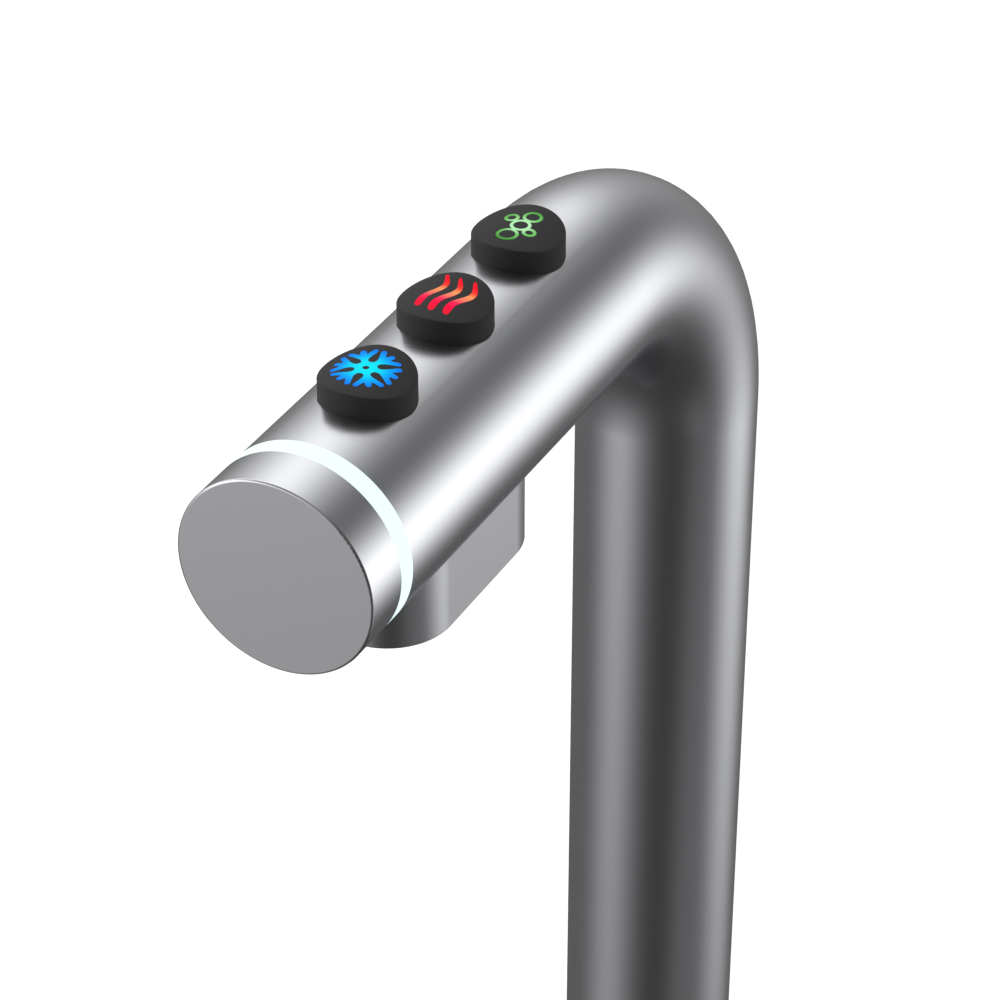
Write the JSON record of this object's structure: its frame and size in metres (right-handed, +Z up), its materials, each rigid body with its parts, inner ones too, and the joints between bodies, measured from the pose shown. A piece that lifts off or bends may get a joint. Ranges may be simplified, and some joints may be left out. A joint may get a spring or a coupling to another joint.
{
  "type": "boiling water tap",
  "caption": "Deck-mounted instant water tap: bent steel tube with lit push buttons on its arm, a glowing ring before the end cap and a nozzle with separate outlets.",
  "frame": {"origin": "centre of the worktop hole, on the worktop's top face", "axes": "+Z up, the arm points to -Y, +X to the right as seen from the nozzle's front"},
  "size_m": [0.062, 0.2358, 0.5006],
  "materials": {
    "satin_steel": "fine satin, brushed along the tube",
    "bright_steel": "bright drawn stainless steel",
    "turned_aluminium": "turned",
    "black_plastic": "satin black",
    "dark_plastic": "moulded, glass filled",
    "clear_plastic": "milky clear",
    "icon_light_guide": "milky clear, lit from below",
    "ring_glow": "milky, lit from inside",
    "lamp_white": "white lamp bodies",
    "board_green": "solder mask",
    "black_rubber": "moulded rubber",
    "pale_silicone": "translucent silicone",
    "yellow_brass": "turned brass"
  },
  "bodies": {
    "tap": {"spout_tube": "satin_steel", "nozzle_shell": "satin_steel", "end_cap": "satin_steel", "escutcheon": "satin_steel", "base_body": "satin_steel", "carrier_screws": "bright_steel", "board_screws": "bright_steel", "plug_screws": "bright_steel", "end_cap_grub_screw": "bright_steel", "boiling_pipe": "bright_steel", "chilled_pipe": "bright_steel", "sparkling_pipe": "bright_steel", "manifold_screws": "bright_steel", "nozzle_screws": "bright_steel", "shank": "bright_steel", "steel_washer": "bright_steel", "tube_grub_screw": "bright_steel", "chilled_button_spring": "bright_steel", "boiling_button_spring": "bright_steel", "sparkling_button_spring": "bright_steel", "end_plug": "turned_aluminium", "chilled_switch": "black_plastic", "boiling_switch": "black_plastic", "sparkling_switch": "black_plastic", "button_carrier": "dark_plastic", "lower_pipe_spacer": "dark_plastic", "upper_pipe_spacer": "dark_plastic", "outlet_manifold": "dark_plastic", "board_connector": "clear_plastic", "loom_socket": "clear_plastic", "chilled_flow_straightener": "clear_plastic", "boiling_flow_straightener": "clear_plastic", "sparkling_flow_straightener": "clear_plastic", "light_ring": "ring_glow", "ring_lamps": "lamp_white", "control_board": "board_green", "ring_board": "board_green", "wiring_loom": "black_rubber", "shank_grommet": "black_rubber", "end_cap_o_ring": "black_rubber", "lower_base_o_ring": "black_rubber", "upper_base_o_ring": "black_rubber", "deck_gasket": "black_rubber", "rubber_washer": "black_rubber", "chilled_pipe_seal": "black_rubber", "boiling_pipe_seal": "black_rubber", "sparkling_pipe_seal": "black_rubber", "boiling_pipe_sleeve": "pale_silicone", "manifold_nuts": "yellow_brass", "back_nut": "yellow_brass"},
    "chilled_button": {"chilled_button_cap": "black_plastic", "chilled_light_guide": "icon_light_guide", "chilled_button_plunger": "clear_plastic"},
    "boiling_button": {"boiling_button_cap": "black_plastic", "boiling_light_guide": "icon_light_guide", "boiling_button_plunger": "clear_plastic"},
    "sparkling_button": {"sparkling_button_cap": "black_plastic", "sparkling_light_guide": "icon_light_guide", "sparkling_button_plunger": "clear_plastic"}
  },
  "joints": [
    {"name": "chilled_press", "type": "slide", "parent": "tap", "child": "chilled_button", "axis": [0, 0, -1], "range_m": [0, 0.001], "stiffness_N_per_m": 400, "springref_m": -0.004, "deforming": ["chilled_button_spring"]},
    {"name": "boiling_press", "type": "slide", "parent": "tap", "child": "boiling_button", "axis": [0, 0, -1], "range_m": [0, 0.001], "stiffness_N_per_m": 400, "springref_m": -0.004, "deforming": ["boiling_button_spring"]},
    {"name": "sparkling_press", "type": "slide", "parent": "tap", "child": "sparkling_button", "axis": [0, 0, -1], "range_m": [0, 0.001], "stiffness_N_per_m": 400, "springref_m": -0.004, "deforming": ["sparkling_button_spring"]}
  ]
}
